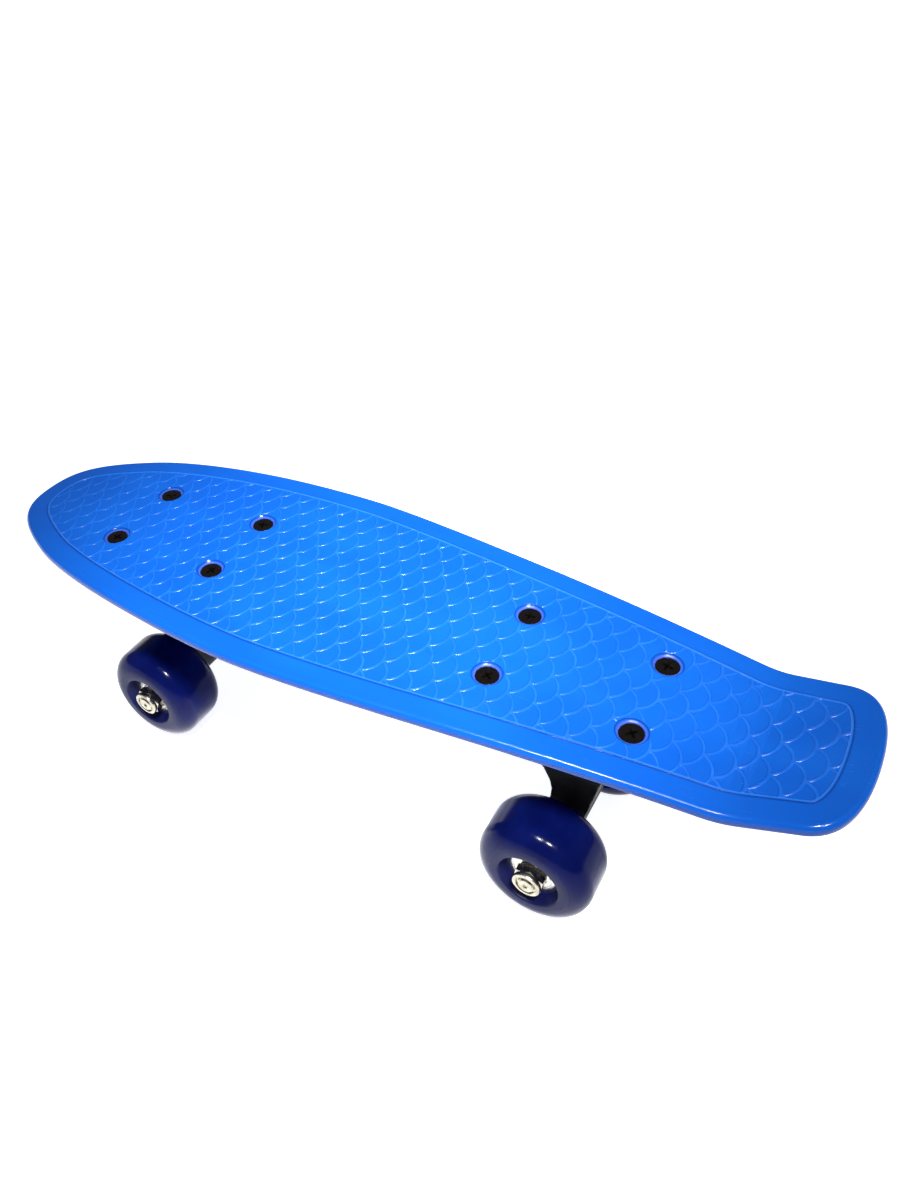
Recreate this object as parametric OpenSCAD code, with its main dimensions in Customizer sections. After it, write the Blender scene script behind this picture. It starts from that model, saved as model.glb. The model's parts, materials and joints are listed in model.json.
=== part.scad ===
// Small moulded cruiser skateboard, 17 inch class.
// Frame: origin on the ground under the middle of the board's length and width,
// +X towards the kicked tail, +Z up, so the nose is the front and -Y is the left side.

/* [Deck] */
// Length of the deck from nose to tail
deck_l = 439.4; // [434:0.2:446]
// Greatest width of the deck
deck_w = 129; // [127:0.2:132]
// Height of the deck's flat middle above the ground
deck_h = 108.4; // [107:0.2:110]
// Depth of the deck's edge
edge_t = 5; // [4.5:0.5:7]
// Thickness of the moulded shell between the ribs
shell_t = 3.5; // [3:0.25:4]
// Depth of the stiffening ribs below the deck's top
rib_depth = 7.6; // [6:0.2:9]
// Width of the plain border round the patterned panel
border_w = 11.6; // [10:0.2:13]
// Length of the level middle
flat_l = 140; // [130:1:150]
// Radius of the gentle droop beyond the level middle
droop_r = 1490; // [1300:10:1700]
// Angle of the kicked tail
kick_angle = 16; // [12:0.5:18]

/* [Trucks] */
// Distance between the two truck bolt patterns
truck_spacing = 214.5; // [213:0.5:216]
// Bolt spacing along the board
bolt_l = 63.5; // [63:0.1:64]
// Bolt spacing across the board
bolt_w = 41.3; // [41:0.1:42]
// Distance of the axle outboard of its bolt pattern
axle_out = 3.5; // [2.5:0.5:4.5]
// Lean of the kingpin from upright
kingpin_lean = 12; // [10:1:14]

/* [Wheels] */
// Diameter of each wheel
wheel_d = 54; // [52:0.5:54]
// Width of each wheel
wheel_w = 31; // [30:0.5:32]
// Distance from the board's middle plane to a wheel's outer face
wheel_face = 52.8; // [52.5:0.1:53.5]

/* [Hidden] */

FRONT = -1;
REAR = 1;
LEFT = -1;
RIGHT = 1;
$fn = 64;
eps = 0.01;

// Deck: the trucks' midpoint lies a little towards the nose
truck_mid = -5.6;
kick_start = 173;
kick_r = 40;
droop_end = asin((kick_start - flat_l / 2) / droop_r);
kick_x0 = truck_mid + kick_start;
kick_x1 = kick_x0 + kick_r * (sin(droop_end) + sin(kick_angle));
curve_step = 8;
kick_step = 2.5;
outline_steps = 14;
line_h = 0.4;
line_w = 1.2;
wall_t = 4;
rib_t = 2.4;
rib_pitch = 17;
rib_inset = 9;

// Truck pads: level blocks under the deck that the baseplates bolt to
pad_drop = 11;
pad_z = deck_h - pad_drop;
pad_l = 84;
pad_w = 62;
pad_corner = 7;
pad_sink = 3.2;

// Deck screws, M5 countersunk
screw_r = 2.4;
screw_hole_r = 2.75;
screw_head_r = 5.2;
countersink_d = 2.8;
head_rim_t = 0.4;
screw_sink = 1;
shank_proud = 1.6;
dish_r = 7;
dish_floor_r = 5.5;
dish_slope = (dish_r - dish_floor_r) / screw_sink;
nut_af = 8;
nut_t = 4.7;
nut_hole_r = 2.45;

// Trucks, in a frame with its origin at the pad's middle, +X outboard, +Z up
flange_l = 80;
flange_w = 58;
flange_t = 5;
axle_z = wheel_d / 2;
axle_drop = pad_z - axle_z;
ring_at = [-6, -34];
pivot_at = [27, -15];
steer_angle = atan2(pivot_at[1] - ring_at[1], pivot_at[0] - ring_at[0]);
stem_r = 5.5;
stem_l = 15;
cup_clear = 0.1;
cup_wall = 2.4;
cup_mouth = 6.5;
cup_l = 11.5;
boss_r = 11;
boss_l = 16;
socket_r = 11.3;
socket_l = 17;
ring_t = 7;
ring_r = 13;
ring_bore_r = 6;
bushing_r = 10;
upper_bushing_l = 9;
lower_bushing_l = 8;
cup_washer_r = 10.8;
cup_washer_t = 1.2;
cup_washer_rim = 1;
kingpin_r = 4;
kingpin_fit = 0.1;
kingpin_nut_af = 13;
kingpin_nut_t = 6;
kingpin_top = 33;
kingpin_head_t = 5;
kingpin_recess = 5.5;
kingpin_tail = 1.2;
seat_s = ring_t / 2 + upper_bushing_l + cup_washer_t;
nut_s = -(ring_t / 2 + lower_bushing_l + cup_washer_t);

// Axle, wheels and bearings, measured outward from the board's middle plane
axle_r = 4;
beam_r = 9;
beam_l = 20;
shoulder_r = 6.2;
cheek_w = 19;
bearing_r = 11;
bearing_w = 7;
bearing_bore_r = 4.02;
bearing_gap = 7.4;
outer_ring_bore_r = 9.1;
inner_ring_r = 5.9;
shield_hole_r = 6.3;
shield_t = 0.5;
shield_inset = 0.3;
spacer_r = 5.4;
hub_bore_r = 8;
recess = 5.5;
outer_seat = wheel_face - recess;
inner_seat = outer_seat - 2 * bearing_w - bearing_gap;
washer_t = 0.8;
washer_r = 6.2;
axle_nut_t = 6.6;
axle_nut_af = 13;
collar_r = 6.6;
axle_end = outer_seat + washer_t + axle_nut_t + 0.2;
lip_r = 14.4;
lip_floor_r = 12.2;
edge_radial = 10;
edge_axial = 9;
ball_r = 1.98;
ball_pitch_r = 7.5;
ball_count = 7;

// ---- curves ----

// A point along a cubic curve through four control points
function bez(p, t) =
    pow(1 - t, 3) * p[0] + 3 * pow(1 - t, 2) * t * p[1]
    + 3 * (1 - t) * t * t * p[2] + pow(t, 3) * p[3];
function bez_run(p, n) = [for (i = [0 : n - 1]) bez(p, i / n)];

// Half outline from nose to tail: round nose, full flank, long taper, soft tail corner
nose_x = -deck_l / 2;
tail_x = deck_l / 2;
half_w = deck_w / 2;
widest_x = truck_mid - 33;
half_outline = concat(
    bez_run([[nose_x, 0], [nose_x, 19], [nose_x + 8, 29.4], [nose_x + 42, 44]], outline_steps),
    bez_run([[nose_x + 42, 44], [nose_x + 72, 57], [widest_x - 42, half_w],
             [widest_x, half_w]], outline_steps),
    bez_run([[widest_x, half_w], [widest_x + 45, half_w], [tail_x - 89, 46.2],
             [tail_x - 18.6, 38.8]], outline_steps),
    bez_run([[tail_x - 18.6, 38.8], [tail_x - 5.6, 37.4], [tail_x, 24.6], [tail_x, 0]],
            outline_steps)
);
outline = concat(
    half_outline,
    [[tail_x, 0]],
    [for (i = [len(half_outline) - 1 : -1 : 1]) [half_outline[i][0], -half_outline[i][1]]]
);
// The outline moved inwards by a distance along its own normals
function inset_point(i, d) =
    let (n = len(outline), a = outline[(i + n - 1) % n], b = outline[(i + 1) % n])
    outline[i] + d * [b[1] - a[1], a[0] - b[0]] / norm(b - a);
function inset_outline(d) = [for (i = [0 : len(outline) - 1]) inset_point(i, d)];

// Height of the deck's top along its length
function droop_z(d) = d <= flat_l / 2 ? 0 : sqrt(droop_r * droop_r - pow(d - flat_l / 2, 2)) - droop_r;
function kick_arc_z(x) =
    droop_z(kick_start) + kick_r * cos(droop_end)
    - sqrt(kick_r * kick_r - pow(x - kick_x0 - kick_r * sin(droop_end), 2));
function top_z(x) =
    deck_h + (x <= kick_x0 ? droop_z(abs(x - truck_mid))
        : x <= kick_x1 ? kick_arc_z(x)
        : kick_arc_z(kick_x1) + (x - kick_x1) * tan(kick_angle));
stations = concat(
    [for (x = [nose_x - 2 : curve_step : truck_mid - flat_l / 2 - eps]) x],
    [truck_mid - flat_l / 2],
    [for (x = [truck_mid + flat_l / 2 : curve_step : kick_x0 - eps]) x],
    [for (x = [kick_x0 : kick_step : kick_x1 - eps]) x],
    [kick_x1, tail_x + 2]
);

// ---- shared shapes ----

// The space between two depths under the deck's top, over the whole width
module band(from_depth, to_depth)
    rotate([90, 0, 0])
        linear_extrude(deck_w + 10, center = true)
            polygon(concat(
                [for (x = stations) [x, top_z(x) - from_depth]],
                [for (i = [len(stations) - 1 : -1 : 0]) [stations[i], top_z(stations[i]) - to_depth]]
            ));

module deck_slab(inset, from_depth, to_depth)
    intersection() {
        linear_extrude(deck_h * 2) polygon(inset_outline(inset));
        band(from_depth, to_depth);
    }

module rounded_plate(l, w, r, t)
    linear_extrude(t) {
        square([l - 2 * r, w], center = true);
        square([l, w - 2 * r], center = true);
        for (x = [-1, 1], y = [-1, 1]) translate([x * (l / 2 - r), y * (w / 2 - r)]) circle(r);
    }

module hex(af, t) cylinder(h = t, d = af / cos(30), $fn = 6);

module tube(r_out, r_in, h)
    difference() {
        cylinder(h = h, r = r_out);
        translate([0, 0, -eps]) cylinder(h = h + 2 * eps, r = r_in);
    }

// Places children in the frame of one truck
module at_truck(end)
    translate([truck_mid + end * truck_spacing / 2, 0, pad_z]) {
        if (end == FRONT) mirror([1, 0, 0]) children();
        else children();
    }

// Places children on the kingpin: origin at the hanger ring's middle, +Z up the kingpin
module on_kingpin()
    translate([ring_at[0], 0, ring_at[1]]) rotate([0, kingpin_lean, 0]) children();

// Places children on the steering axis: origin at the pivot, +Z outboard and up
module on_steer_axis()
    translate([pivot_at[0], 0, pivot_at[1]]) rotate([0, 90 - steer_angle, 0]) children();

// Places children on one end of an axle: origin in the middle plane, +Z outward
module on_axle(end, hand)
    translate([truck_mid + end * (truck_spacing / 2 + axle_out), 0, axle_z])
        rotate([-hand * 90, 0, 0]) children();

module at_deck_bolts()
    for (end = [FRONT, REAR], x = [-1, 1], y = [-1, 1])
        translate([truck_mid + end * truck_spacing / 2 + x * bolt_l / 2, y * bolt_w / 2, 0])
            children();

function bolt_x(end, x) = truck_mid + end * truck_spacing / 2 + x * bolt_l / 2;

// ---- deck and its fasteners ----

module deck_ribs()
    for (i = [-11 : 11])
        translate([truck_mid + i * rib_pitch, 0, deck_h])
            cube([rib_t, deck_w, 60], center = true);

module deck_long_ribs()
    for (y = [-24, 0, 24])
        translate([0, y, deck_h]) cube([deck_l, rib_t, 60], center = true);

module deck_holes()
    for (end = [FRONT, REAR], x = [-1, 1], y = [-1, 1])
        translate([bolt_x(end, x), y * bolt_w / 2, top_z(bolt_x(end, x))]) {
            translate([0, 0, -pad_drop - 2]) cylinder(h = pad_drop + 4, r = screw_hole_r);
            translate([0, 0, -screw_sink])
                cylinder(h = 3, r1 = dish_floor_r, r2 = dish_floor_r + 3 * dish_slope);
            translate([0, 0, -screw_sink - head_rim_t]) cylinder(h = head_rim_t + eps, r = dish_floor_r);
            translate([0, 0, -screw_sink - countersink_d])
                cylinder(h = countersink_d - head_rim_t + eps, r1 = screw_hole_r, r2 = dish_floor_r);
        }

// The low raised line that frames the scale pattern
module frame_line()
    difference() {
        deck_slab(border_w, -line_h, 1);
        deck_slab(border_w + line_w, -1, 2);
    }

module deck()
    color("dodgerblue")
        difference() {
            union() {
                difference() {
                    deck_slab(0, 0, edge_t);
                    deck_slab(wall_t, shell_t, edge_t + 5);
                }
                intersection() {
                    deck_slab(rib_inset, shell_t - 1, rib_depth);
                    union() {
                        deck_ribs();
                        deck_long_ribs();
                    }
                }
                frame_line();
                for (end = [FRONT, REAR])
                    translate([truck_mid + end * truck_spacing / 2, 0, pad_z])
                        rounded_plate(pad_l, pad_w, pad_corner, pad_drop - pad_sink);
            }
            deck_holes();
        }

// How far a screw's shank reaches below its head: through the nut and a little past it
function shank_end(end, x) =
    top_z(bolt_x(end, x)) - screw_sink - pad_z + flange_t + nut_t + shank_proud;

module deck_screws()
    color("black")
        for (end = [FRONT, REAR], x = [-1, 1], y = [-1, 1])
            translate([bolt_x(end, x), y * bolt_w / 2, top_z(bolt_x(end, x)) - screw_sink])
                difference() {
                    union() {
                        translate([0, 0, -head_rim_t]) cylinder(h = head_rim_t, r = screw_head_r);
                        translate([0, 0, -countersink_d])
                            cylinder(h = countersink_d - head_rim_t, r1 = screw_r, r2 = screw_head_r);
                        translate([0, 0, -shank_end(end, x)])
                            cylinder(h = shank_end(end, x) - 2.6, r = screw_r);
                    }
                    for (a = [0, 90]) rotate([0, 0, a]) cube([5, 1.1, 3.6], center = true);
                }

module deck_nuts()
    color("silver")
        at_deck_bolts()
            translate([0, 0, pad_z - flange_t - nut_t])
                difference() {
                    hex(nut_af, nut_t);
                    translate([0, 0, -1]) cylinder(h = nut_t + 2, r = nut_hole_r);
                }

// ---- truck pieces ----

// Side shape of the pedestal under the flange, with hollow curved flanks
module pedestal_side()
    difference() {
        polygon([
            [-32, 1 - flange_t], [34, 1 - flange_t], [34, -12], [8, -12],
            [8, -20], [-16, -20], [-32, -14]
        ]);
        translate([-32, -20]) circle(14.5);
    }

module baseplate(end)
    color("#151517")
        at_truck(end)
            difference() {
                union() {
                    translate([0, 0, -flange_t]) rounded_plate(flange_l, flange_w, 8, flange_t);
                    rotate([90, 0, 0]) linear_extrude(22, center = true) pedestal_side();
                    on_kingpin() translate([0, 0, seat_s]) cylinder(h = boss_l, r = boss_r);
                    on_steer_axis() translate([0, 0, -cup_mouth]) cylinder(h = socket_l, r = socket_r);
                }
                translate([0, 0, 50 - eps]) cube([120, 120, 100], center = true);
                on_kingpin() {
                    translate([0, 0, -10]) cylinder(h = 60, r = kingpin_r + kingpin_fit);
                    translate([0, 0, kingpin_top - kingpin_recess]) hex(kingpin_nut_af + 0.4, 20);
                    translate([0, 0, -40 + seat_s]) cylinder(h = 40, r = 16);
                }
                on_steer_axis() {
                    translate([0, 0, -2 * cup_mouth]) cylinder(h = cup_mouth + cup_l, r = stem_r + cup_wall);
                    translate([0, 0, -20 - cup_mouth]) cylinder(h = 20, r = stem_r + 3);
                }
                for (x = [-1, 1], y = [-1, 1])
                    translate([x * bolt_l / 2, y * bolt_w / 2, -40]) {
                        cylinder(h = 60, r = screw_hole_r);
                        cylinder(h = 40 - flange_t, r = 6);
                    }
            }

module pivot_cup(end)
    color("#2a2a2d")
        at_truck(end)
            on_steer_axis()
                difference() {
                    translate([0, 0, -cup_mouth]) cylinder(h = cup_l, r = stem_r + cup_wall);
                    translate([0, 0, -8]) cylinder(h = 8, r = stem_r + cup_clear);
                    cylinder(h = 3, r1 = stem_r + cup_clear, r2 = 2.5);
                }

module kingpin(end)
    color("silver")
        at_truck(end)
            on_kingpin() {
                translate([0, 0, kingpin_top - kingpin_recess]) hex(kingpin_nut_af, kingpin_head_t);
                translate([0, 0, nut_s - kingpin_nut_t - kingpin_tail])
                    cylinder(h = kingpin_top - 3 - nut_s + kingpin_nut_t + kingpin_tail, r = kingpin_r);
            }

module kingpin_nut(end)
    color("silver")
        at_truck(end)
            on_kingpin()
                translate([0, 0, nut_s - kingpin_nut_t])
                    difference() {
                        union() {
                            translate([0, 0, 1.8]) hex(kingpin_nut_af, kingpin_nut_t - 1.8);
                            cylinder(h = 2, r = collar_r - 0.4);
                        }
                        translate([0, 0, -1]) cylinder(h = kingpin_nut_t + 2, r = kingpin_r + 0.05);
                    }

// A dished washer: a flat disc with a rim that holds the bushing's end
module cup_washer()
    difference() {
        cylinder(h = cup_washer_t + cup_washer_rim, r = cup_washer_r);
        translate([0, 0, cup_washer_t]) cylinder(h = 5, r = bushing_r + 0.05);
        translate([0, 0, -1]) cylinder(h = 5, r = kingpin_r + kingpin_fit);
    }

module cup_washers(end)
    color("silver")
        at_truck(end)
            on_kingpin() {
                translate([0, 0, seat_s]) mirror([0, 0, 1]) cup_washer();
                translate([0, 0, nut_s]) cup_washer();
            }

// A urethane bushing: a thick ring with a waist
module bushing(h, waist)
    rotate_extrude()
        difference() {
            translate([kingpin_r + kingpin_fit, 0]) square([bushing_r - kingpin_r - kingpin_fit, h]);
            translate([bushing_r + 4 - waist, h / 2]) circle(4);
        }

module upper_bushing(end)
    color("#1b1b1d")
        at_truck(end) on_kingpin() translate([0, 0, ring_t / 2]) bushing(upper_bushing_l, 1.2);

module lower_bushing(end)
    color("#1b1b1d")
        at_truck(end) on_kingpin()
            translate([0, 0, -ring_t / 2 - lower_bushing_l]) bushing(lower_bushing_l, 1.2);

// Side shape of the hanger's body between the axle beam and the steering axis
module hanger_side()
    polygon([
        [-5.4, -axle_drop + 2], [-2, -54], [-1.7, -49], [-2.8, -43.5], [-5.4, -38.5], [-9.5, -34],
        [4, -29], [12, -27.5], [17, -26], [21, -31], [15.5, -56], [12.3, -axle_drop + 2]
    ]);

// Front shape of the hanger: wide at the beam, narrow at the top
module hanger_front()
    polygon([
        [-beam_l + 1, -axle_drop - 4], [beam_l - 1, -axle_drop - 4], [cheek_w, -56],
        [cheek_w - 1, -34.5], [9, -24], [-9, -24], [1 - cheek_w, -34.5], [-cheek_w, -56]
    ]);

module hanger(end)
    color("#151517")
        at_truck(end)
            difference() {
                union() {
                    intersection() {
                        rotate([90, 0, 0]) linear_extrude(2 * beam_l, center = true) hanger_side();
                        rotate([90, 0, 90]) linear_extrude(120, center = true) hanger_front();
                    }
                    on_kingpin() cylinder(h = ring_t, r = ring_r, center = true);
                    on_steer_axis() translate([0, 0, -stem_l]) cylinder(h = stem_l, r = stem_r);
                    translate([axle_out, 0, -axle_drop]) rotate([90, 0, 0]) {
                        cylinder(h = 2 * beam_l, r = beam_r, center = true);
                        cylinder(h = 2 * (inner_seat - washer_t), r = shoulder_r, center = true);
                    }
                }
                on_kingpin() {
                    cylinder(h = 20, r = ring_bore_r, center = true);
                    translate([0, 0, ring_t / 2]) cylinder(h = 30, r = ring_r + 0.6);
                    translate([0, 0, -ring_t / 2 - 19.5]) cylinder(h = 19.5, r = ring_r + 0.2);
                }
                translate([axle_out, 0, -axle_drop]) rotate([90, 0, 0])
                    cylinder(h = 100, r = axle_r + 0.03, center = true);
            }

module axle(end)
    color("silver")
        translate([truck_mid + end * (truck_spacing / 2 + axle_out), 0, axle_z])
            rotate([90, 0, 0]) {
                cylinder(h = 2 * axle_end - 1, r = axle_r, center = true);
                cylinder(h = 2 * axle_end, r = axle_r - 0.5, center = true);
            }

module axle_nuts(end)
    color("silver")
        for (hand = [LEFT, RIGHT])
            on_axle(end, hand)
                translate([0, 0, outer_seat + washer_t])
                    difference() {
                        union() {
                            hex(axle_nut_af, axle_nut_t - 2);
                            cylinder(h = axle_nut_t, r = collar_r);
                        }
                        translate([0, 0, -1]) cylinder(h = axle_nut_t + 2, r = axle_r + 0.03);
                    }

module axle_washers(end)
    color("silver")
        for (hand = [LEFT, RIGHT], seat = [inner_seat - washer_t, outer_seat])
            on_axle(end, hand) translate([0, 0, seat]) tube(washer_r, axle_r + 0.03, washer_t);

// ---- wheels ----

// Half section of the wheel, radius against distance from the middle plane
function wheel_edge(from_angle, to_angle, y0, dir) = [
    for (i = [0 : 8]) let (a = from_angle + (to_angle - from_angle) * i / 8)
        [wheel_d / 2 - edge_radial + edge_radial * cos(a), y0 + dir * edge_axial * sin(a)]
];

module wheel_section()
    polygon(concat(
        [[hub_bore_r, inner_seat + bearing_w], [bearing_r, inner_seat + bearing_w], [bearing_r, inner_seat],
         [lip_floor_r, inner_seat], [lip_r, wheel_face - wheel_w]],
        wheel_edge(90, 0, wheel_face - wheel_w + edge_axial, -1),
        wheel_edge(0, 90, wheel_face - edge_axial, 1),
        [[lip_r, wheel_face], [lip_floor_r, outer_seat], [bearing_r, outer_seat],
         [bearing_r, outer_seat - bearing_w], [hub_bore_r, outer_seat - bearing_w]]
    ));

module wheel(end, hand)
    color("#14236b") on_axle(end, hand) rotate_extrude() wheel_section();

module at_bearings(end, hand)
    for (seat = [inner_seat, outer_seat - bearing_w])
        on_axle(end, hand) translate([0, 0, seat]) children();

module outer_rings(end, hand)
    color("silver")
        at_bearings(end, hand)
            difference() {
                tube(bearing_r - 0.02, outer_ring_bore_r, bearing_w);
                translate([0, 0, bearing_w / 2])
                    rotate_extrude() translate([ball_pitch_r, 0]) circle(ball_r + 0.05);
            }

module inner_rings(end, hand)
    color("silver")
        at_bearings(end, hand)
            difference() {
                tube(inner_ring_r, bearing_bore_r, bearing_w);
                translate([0, 0, bearing_w / 2])
                    rotate_extrude() translate([ball_pitch_r, 0]) circle(ball_r + 0.14);
            }

module balls(end, hand)
    color("silver")
        at_bearings(end, hand)
            for (i = [0 : ball_count - 1])
                rotate([0, 0, i * 360 / ball_count])
                    translate([ball_pitch_r, 0, bearing_w / 2]) sphere(ball_r);

module shields(end, hand)
    color("silver")
        at_bearings(end, hand)
            for (z = [shield_inset, bearing_w - shield_inset - shield_t])
            translate([0, 0, z]) tube(outer_ring_bore_r, shield_hole_r, shield_t);

module spacer(end, hand)
    color("silver")
        on_axle(end, hand)
            translate([0, 0, inner_seat + bearing_w]) tube(spacer_r, axle_r + 0.05, bearing_gap);

deck();
deck_screws();
deck_nuts();

baseplate(FRONT);  // front_baseplate
pivot_cup(FRONT);  // front_pivot_cup
kingpin(FRONT);  // front_kingpin
kingpin_nut(FRONT);  // front_kingpin_nut
cup_washers(FRONT);  // front_cup_washers
upper_bushing(FRONT);  // front_upper_bushing
lower_bushing(FRONT);  // front_lower_bushing
hanger(FRONT);  // front_hanger
axle(FRONT);  // front_axle
axle_nuts(FRONT);  // front_axle_nuts
axle_washers(FRONT);  // front_axle_washers

baseplate(REAR);  // rear_baseplate
pivot_cup(REAR);  // rear_pivot_cup
kingpin(REAR);  // rear_kingpin
kingpin_nut(REAR);  // rear_kingpin_nut
cup_washers(REAR);  // rear_cup_washers
upper_bushing(REAR);  // rear_upper_bushing
lower_bushing(REAR);  // rear_lower_bushing
hanger(REAR);  // rear_hanger
axle(REAR);  // rear_axle
axle_nuts(REAR);  // rear_axle_nuts
axle_washers(REAR);  // rear_axle_washers

wheel(FRONT, LEFT);  // front_left_wheel
outer_rings(FRONT, LEFT);  // front_left_outer_rings
inner_rings(FRONT, LEFT);  // front_left_inner_rings
balls(FRONT, LEFT);  // front_left_balls
shields(FRONT, LEFT);  // front_left_shields
spacer(FRONT, LEFT);  // front_left_spacer

wheel(FRONT, RIGHT);  // front_right_wheel
outer_rings(FRONT, RIGHT);  // front_right_outer_rings
inner_rings(FRONT, RIGHT);  // front_right_inner_rings
balls(FRONT, RIGHT);  // front_right_balls
shields(FRONT, RIGHT);  // front_right_shields
spacer(FRONT, RIGHT);  // front_right_spacer

wheel(REAR, LEFT);  // rear_left_wheel
outer_rings(REAR, LEFT);  // rear_left_outer_rings
inner_rings(REAR, LEFT);  // rear_left_inner_rings
balls(REAR, LEFT);  // rear_left_balls
shields(REAR, LEFT);  // rear_left_shields
spacer(REAR, LEFT);  // rear_left_spacer

wheel(REAR, RIGHT);  // rear_right_wheel
outer_rings(REAR, RIGHT);  // rear_right_outer_rings
inner_rings(REAR, RIGHT);  // rear_right_inner_rings
balls(REAR, RIGHT);  // rear_right_balls
shields(REAR, RIGHT);  // rear_right_shields
spacer(REAR, RIGHT);  // rear_right_spacer
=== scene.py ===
import json
import math

import bpy
import numpy as np
from mathutils import Matrix, Vector
from mathutils.geometry import delaunay_2d_cdt


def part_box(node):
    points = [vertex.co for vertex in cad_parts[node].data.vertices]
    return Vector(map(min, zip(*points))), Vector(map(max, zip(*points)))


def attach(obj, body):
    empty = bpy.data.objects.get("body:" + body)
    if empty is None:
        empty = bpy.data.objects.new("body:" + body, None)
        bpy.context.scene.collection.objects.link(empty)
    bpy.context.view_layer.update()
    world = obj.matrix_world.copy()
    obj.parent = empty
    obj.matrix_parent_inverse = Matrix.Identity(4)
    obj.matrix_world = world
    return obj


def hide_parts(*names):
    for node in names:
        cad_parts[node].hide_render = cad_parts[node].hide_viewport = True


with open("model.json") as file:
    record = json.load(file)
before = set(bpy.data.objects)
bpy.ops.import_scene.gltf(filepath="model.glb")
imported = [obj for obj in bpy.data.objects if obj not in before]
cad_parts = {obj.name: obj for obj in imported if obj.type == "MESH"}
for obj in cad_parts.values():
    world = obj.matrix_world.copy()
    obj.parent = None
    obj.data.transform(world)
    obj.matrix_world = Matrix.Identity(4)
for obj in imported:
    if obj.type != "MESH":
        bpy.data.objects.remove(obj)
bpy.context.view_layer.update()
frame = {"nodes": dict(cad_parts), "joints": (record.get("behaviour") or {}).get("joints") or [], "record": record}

# Shapes are worked out in millimetres and turned to metres when a piece is made.
MM = 0.001
FRONT, REAR = -1, 1
LEFT, RIGHT = -1, 1
END_NAMES = {FRONT: "front", REAR: "rear"}
HAND_NAMES = {LEFT: "left", RIGHT: "right"}


def box_mm(node):
    low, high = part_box(node)
    return low / MM, high / MM


def middle_mm(node):
    low, high = box_mm(node)
    return (low + high) / 2


# ---- places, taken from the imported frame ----

SCREW_HEAD_R = 5.2
BOLT_L = 63.5
BOLT_W = 41.3
AXLE_OUT = 3.5
deck_low, deck_high = box_mm("deck")
NOSE_X = deck_low.x
TAIL_X = deck_high.x
HALF_W = deck_high.y
TRUCK_MID = middle_mm("deck_screws").x
TRUCK_X = {end: middle_mm(f"{END_NAMES[end]}_axle").x - end * AXLE_OUT for end in (FRONT, REAR)}
PAD_Z = box_mm("rear_baseplate")[1].z
DECK_TOP = frame["record"]["mounts"][0]["pos_m"][2] / MM
WHEEL_FACE = box_mm("rear_right_wheel")[1].y
WHEEL_W = WHEEL_FACE - box_mm("rear_right_wheel")[0].y
WHEEL_R = middle_mm("rear_axle").z
AXLE_END = box_mm("rear_axle")[1].y
NUT_END = box_mm("rear_axle_nuts")[1].y

# ---- deck shape ----

FLAT_L = 140
DROOP_R = 1490
KICK_START = 173
KICK_R = 40
KICK_ANGLE = math.radians(16)
DROOP_END = math.asin((KICK_START - FLAT_L / 2) / DROOP_R)
KICK_X0 = TRUCK_MID + KICK_START
KICK_X1 = KICK_X0 + KICK_R * (math.sin(DROOP_END) + math.sin(KICK_ANGLE))
WIDEST_X = TRUCK_MID - 33

EDGE_T = 5
SHELL_T = 3.5
RIM_R = 2.4
FOOT_R = 1
LIP_W = 3.6
BORDER_W = 11.6
LINE_H = 0.4
LINE_W = 1.2
FRAME_OUTER = (-0.05, 0.25)
FRAME_INNER = (0.85, 1.3)
# Width of the painted shade along the frame line's foot
CREASE_W = 0.7
# Strength of the painted shade down the rim's lower wall
RIM_SHADE = 0.75
OUTLINE_POINTS = 640
RIB_PITCH = 17
RIB_DEPTH = 7.6
RIB_INSET = 9
RIB_RISE = 1.2
RIB_TIP = 0.95
RIB_ROOT = 1.3
LONG_RIBS = (-24, 0, 24)
CROSS_RIBS = range(-11, 12)
PAD_L, PAD_W, PAD_CORNER = 84, 62, 7
PAD_DRAFT = 0.6

# Fish-scale lines: staggered arcs that bulge towards the tail
SCALE_STEP = 6.07
SCALE_PITCH = 17.5
SCALE_R = 9.34
SCALE_FIRST_X = 8.96
RIDGE_HALF = 0.85
RIDGE_FLAT = 0.25
RIDGE_OFFSETS = (-0.85, -0.6, -0.25, 0.25, 0.6, 0.85)
ARC_PARTS = 9
SCALE_SPAN = math.asin(SCALE_PITCH / 2 / SCALE_R)

# Screw seats in the deck
DISH_R = 7
DISH_FLOOR_R = 5.5
SCREW_SINK = 1
HEAD_RIM_T = 0.4
COUNTERSINK_D = 2.8
SCREW_HOLE_R = 2.75
HOLE_POINTS = 48
DISH_CLEAR = 0.5


def drooped(x):
    """Drop of the long gentle curve at a place along the deck."""
    d = np.maximum(np.abs(x - TRUCK_MID) - FLAT_L / 2, 0)
    return np.sqrt(DROOP_R**2 - d**2) - DROOP_R


def top_z(x):
    """Height of the border's top along the deck: level, gentle droop, then the kicked tail."""
    x = np.asarray(x, float)
    arc_mid = KICK_X0 + KICK_R * math.sin(DROOP_END)
    base = drooped(KICK_X0) + KICK_R * math.cos(DROOP_END)
    in_arc = np.clip(x, KICK_X0, KICK_X1)
    kick = base - np.sqrt(KICK_R**2 - (in_arc - arc_mid) ** 2)
    kick = kick + np.maximum(x - KICK_X1, 0) * math.tan(KICK_ANGLE)
    return DECK_TOP + np.where(x <= KICK_X0, drooped(np.minimum(x, KICK_X0)), kick)


def bezier(points, steps):
    p = np.array(points, float)
    t = np.linspace(0, 1, steps, endpoint=False)[:, None]
    return (1 - t) ** 3 * p[0] + 3 * (1 - t) ** 2 * t * p[1] + 3 * (1 - t) * t**2 * p[2] + t**3 * p[3]


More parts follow.
